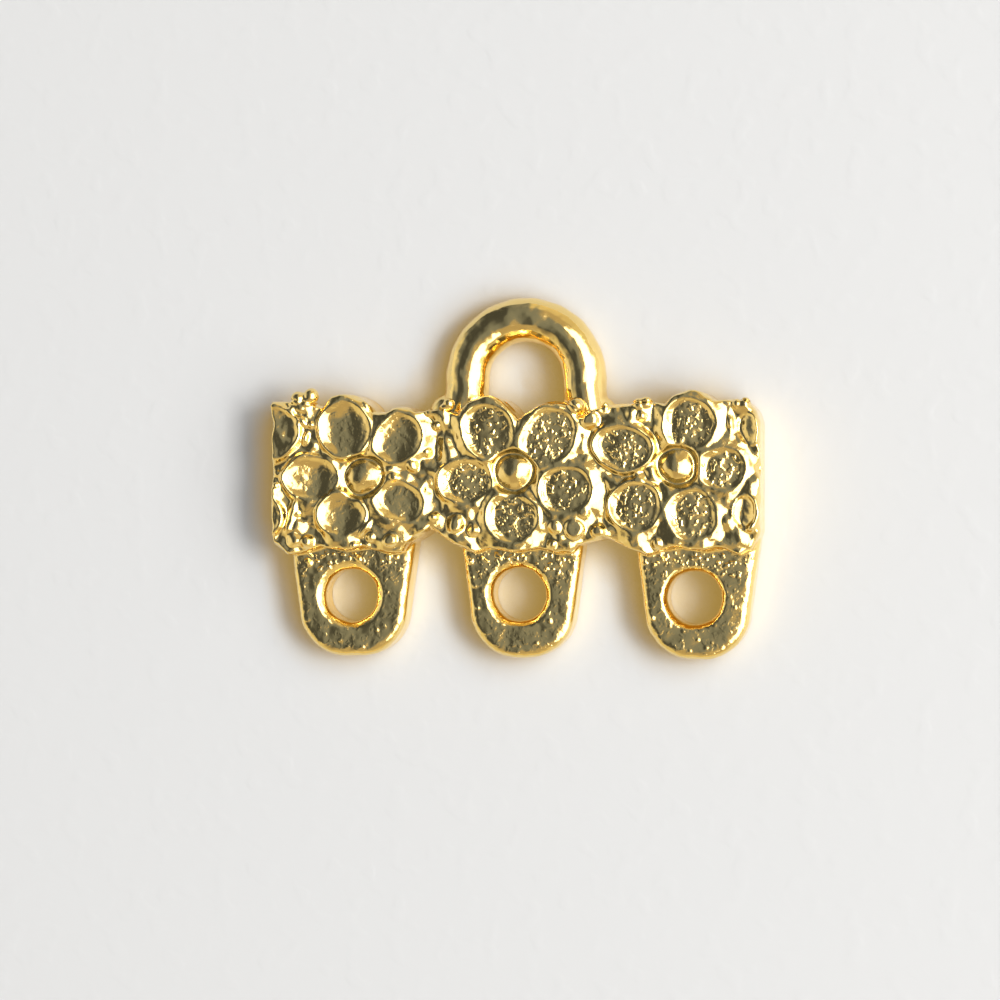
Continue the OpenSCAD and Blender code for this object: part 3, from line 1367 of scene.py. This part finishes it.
LEFT_FLOWER = Blossom(Vector((-5.25, 0.03, 0)), (
    Petal(110, 1.74, 0.96, 0.93, 95, depth=0.05, tip=0.06, hollow=0.17),
    Petal(45, 1.82, 0.93, 0.8, 45, depth=0.05, tip=0.06, hollow=0.16, lean=2, flank=0.8),
    Petal(181, 1.81, 1.01, 0.74, 0, depth=0.03, tip=0, hollow=0.22, lean=5, height=2.19),
    Petal(241, 1.47, 0.9, 0.74, 0, depth=0.05, tip=0.05, hollow=0.15, lean=2),
    Petal(327, 1.57, 0.9, 0.69, -8, hollow=0.08, lean=6, height=2.18, flank=0.6, skirt=0.2),
), Skin.DIMPLED)
MIDDLE_FLOWER = Blossom(Vector((0.02, 0.16, 0)), (
    Petal(121, 1.65, 0.98, 0.9, 110, hollow=0.03, flank=0.55, skirt=-3),
    Petal(45, 1.69, 1.14, 0.88, 40, hollow=0.04, lean=4, flank=0.7, skirt=0.5),
    Petal(191, 1.64, 0.97, 0.74, 0, hollow=0.06, lean=3, height=2.18),
    Petal(270, 1.57, 0.93, 0.89, 0, hollow=0.03, flank=0.7),
    Petal(342, 1.91, 0.95, 0.84, 0, depth=0.08, flank=0.7, skirt=0.45),
), Skin.PEBBLED)
RIGHT_FLOWER = Blossom(Vector((5.61, 0.36, 0)), (
    Petal(70, 1.51, 0.93, 0.9, 60, hollow=0.03, flank=0.6),
    Petal(161, 1.88, 1.04, 0.77, 170),
    Petal(357, 1.59, 0.83, 0.72, 0, hollow=0.03, lean=3, flank=0.7),
    Petal(226, 1.92, 0.93, 0.86, 0),
    Petal(290, 1.77, 0.89, 0.85, 100, hollow=0.03, lean=3, flank=0.45),
), Skin.PEBBLED)

LEFT_TAB = StrandTab(-5.8, Vector((-5.87, -4.13, 0)), width=4.58, mouth_r=1.18, specks=(
    (-4.18, -2.78, 0.09), (-5.54, -2.85, 0.14), (-7.3, -3, 0.14), (-4.5, -4, 0.09),
    (-4.9, -5.33, 0.09), (-6.22, -5.72, 0.09), (-5.93, -5.93, 0.08), (-5.4, -5.92, 0.08),
    (-7.58, -4.3, 0.08), (-7.37, -5, 0.08), (-7.55, -3.42, 0.09), (-4.97, -3.1, 0.08),
    (-4.47, -2.96, 0.1), (-4.43, -3.3, 0.08), (-6.94, -5.2, 0.08)))
MIDDLE_TAB = StrandTab(0.21, Vector((0.1, -4.07, 0)), specks=(
    (-1.6, -2.94, 0.14), (-1.18, -2.8, 0.09), (-0.54, -2.8, 0.09), (0.23, -2.72, 0.09),
    (0.89, -2.8, 0.09), (1.49, -2.79, 0.09), (1.07, -3.18, 0.08), (1.49, -3.31, 0.09),
    (1.45, -3.62, 0.08), (-1.42, -3.78, 0.1), (-1.18, -3.91, 0.08), (-1.32, -4.54, 0.1),
    (-1.21, -3.32, 0.09), (-0.89, -3.36, 0.08), (1.21, -4.97, 0.1), (-0.09, -5.81, 0.08),
    (0.75, -5.73, 0.08), (1.24, -5.86, 0.08)))
RIGHT_TAB = StrandTab(6.28, Vector((6.18, -4.15, 0)), width=4.36, mouth_r=1.1, specks=(
    (4.26, -2.78, 0.09), (4.57, -3.43, 0.09), (4.61, -3.78, 0.08), (4.81, -3.02, 0.09),
    (5.12, -2.82, 0.09), (5.12, -3.36, 0.08), (7.01, -2.95, 0.1), (7.15, -3.32, 0.08),
    (7.49, -3.35, 0.09), (7.69, -3.39, 0.08), (4.99, -4.05, 0.08), (4.74, -4.84, 0.12),
    (5.36, -5.11, 0.08), (5.81, -5.27, 0.08), (6.32, -5.58, 0.09), (6.8, -5.68, 0.08),
    (6.05, -5.96, 0.08), (6.6, -5.85, 0.08), (6.91, -5.06, 0.08), (7.59, -4.44, 0.08)))


def main() -> None:
    """Builds the casting and the studio, and reports each step."""
    logging.basicConfig(level=logging.INFO, format="%(message)s")
    casting = Casting(BarGround(), (LEFT_FLOWER, MIDDLE_FLOWER, RIGHT_FLOWER), EdgePetals(),
                      GrainField(), ClaspLoop(), (LEFT_TAB, MIDDLE_TAB, RIGHT_TAB)).build()
    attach(casting, "root")
    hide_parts("connector")
    Studio().build()


if __name__ == "__main__":
    main()
